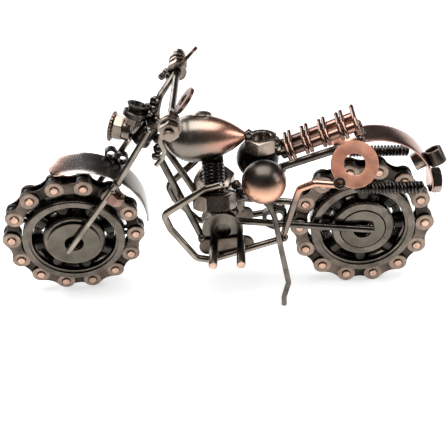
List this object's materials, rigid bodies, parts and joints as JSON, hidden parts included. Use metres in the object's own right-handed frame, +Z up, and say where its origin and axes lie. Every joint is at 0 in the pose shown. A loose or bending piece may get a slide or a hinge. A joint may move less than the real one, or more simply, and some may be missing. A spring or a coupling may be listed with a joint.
{
  "type": "scrap-metal motorcycle figurine",
  "caption": "Small welded metal motorcycle figurine with chain-wrapped ball-bearing wheels that spin, a steering front end, a wire frame and nut-and-bolt details.",
  "frame": {"origin": "floor level under the centre of the bounding box, front wheel turned to its rest angle", "axes": "-X is the front of the motorcycle, +Y its right side, +Z up; the floor is z = 0"},
  "size_m": [0.203, 0.0738, 0.1138],
  "materials": {
    "gunmetal": "dark antique plating with a satin sheen",
    "chain_plate": "bronze-brown antique plating, copper on the raised rims",
    "copper_pin": "rubbed copper highlight",
    "race_steel": "turned, dark antique plating, satin",
    "ball_steel": "polished dark grey",
    "hub_steel": "dark, smooth and shiny",
    "wire_steel": "drawn wire, dark antique plating, glossy",
    "wire_copper": "drawn wire, brown with copper highlights",
    "tank_bronze": "smooth bronze-brown, glossy",
    "copper": "rubbed copper, satin",
    "fender_brown": "brown sheet, copper at the edges, satin",
    "thread_dark": "black-plated thread, satin",
    "nut_pewter": "pewter grey, smooth, rubbed edges",
    "weld": "lumpy weld metal, glossy"
  },
  "bodies": {
    "frame": {"head_sleeve": "gunmetal", "down_tubes": "wire_steel", "crash_bar_left": "wire_steel", "crash_bar_right": "wire_steel", "chainstays": "wire_steel", "rear_stay": "wire_copper", "seat_rail": "wire_steel", "fuel_tank": "tank_bronze", "tank_cap": "nut_pewter", "cylinder_bolts": "thread_dark", "crankcase": "race_steel", "footpeg_plates": "chain_plate", "footpegs": "wire_steel", "side_balls": "tank_bronze", "seat_nut": "nut_pewter", "seat_rods": "gunmetal", "seat_clips": "copper", "side_washers": "copper", "exhaust_springs": "thread_dark", "rear_fender": "fender_brown", "tail_light": "chain_plate", "tail_nuts": "nut_pewter", "kickstand": "wire_steel", "stand_nut": "gunmetal", "frame_welds": "weld", "rear_inner_race": "race_steel", "rear_hub_discs": "hub_steel"},
    "steering": {"steering_stem": "gunmetal", "fork_legs": "wire_steel", "fork_nuts": "wire_copper", "front_fender": "fender_brown", "fender_bushes": "gunmetal", "headlight_rim": "chain_plate", "headlight_shell": "nut_pewter", "headlight_nuts": "nut_pewter", "gauge_cup": "gunmetal", "handlebar": "wire_steel", "grip_nuts": "nut_pewter", "grip_bolts": "nut_pewter", "levers": "wire_steel", "mirrors": "copper", "front_welds": "weld", "front_inner_race": "race_steel", "front_hub_discs": "hub_steel"},
    "front_wheel": {"front_outer_links": "chain_plate", "front_inner_links": "chain_plate", "front_chain_pins": "copper_pin", "front_chain_rollers": "gunmetal", "front_outer_race": "race_steel", "front_wheel_welds": "weld"},
    "front_cage": {"front_balls": "ball_steel", "front_ball_cage": "gunmetal"},
    "rear_wheel": {"rear_outer_links": "chain_plate", "rear_inner_links": "chain_plate", "rear_chain_pins": "copper_pin", "rear_chain_rollers": "gunmetal", "rear_outer_race": "race_steel", "rear_wheel_welds": "weld"},
    "rear_cage": {"rear_balls": "ball_steel", "rear_ball_cage": "gunmetal"}
  },
  "joints": [
    {"name": "steering", "type": "hinge", "parent": "frame", "child": "steering", "pos_m": [-0.02765, 0.0019, 0.084], "axis": [0.6157, 0, 0.788], "range_deg": [-30, 12]},
    {"name": "front_wheel_spin", "type": "hinge", "parent": "steering", "child": "front_wheel", "pos_m": [-0.06864, 0.00177, 0.03274], "axis": [-0.1395, 0.9842, 0.109], "continuous": true},
    {"name": "front_cage_spin", "type": "hinge", "parent": "steering", "child": "front_cage", "pos_m": [-0.06864, 0.00177, 0.03274], "axis": [-0.1395, 0.9842, 0.109], "continuous": true},
    {"name": "rear_wheel_spin", "type": "hinge", "parent": "frame", "child": "rear_wheel", "pos_m": [0.06535, 0.0019, 0.03208], "axis": [0, 1, 0], "continuous": true},
    {"name": "rear_cage_spin", "type": "hinge", "parent": "frame", "child": "rear_cage", "pos_m": [0.06535, 0.0019, 0.03208], "axis": [0, 1, 0], "continuous": true}
  ],
  "couplings": [
    {"joint": "front_cage_spin", "follows": "front_wheel_spin", "ratio": 0.6185},
    {"joint": "rear_cage_spin", "follows": "rear_wheel_spin", "ratio": 0.6185}
  ]
}
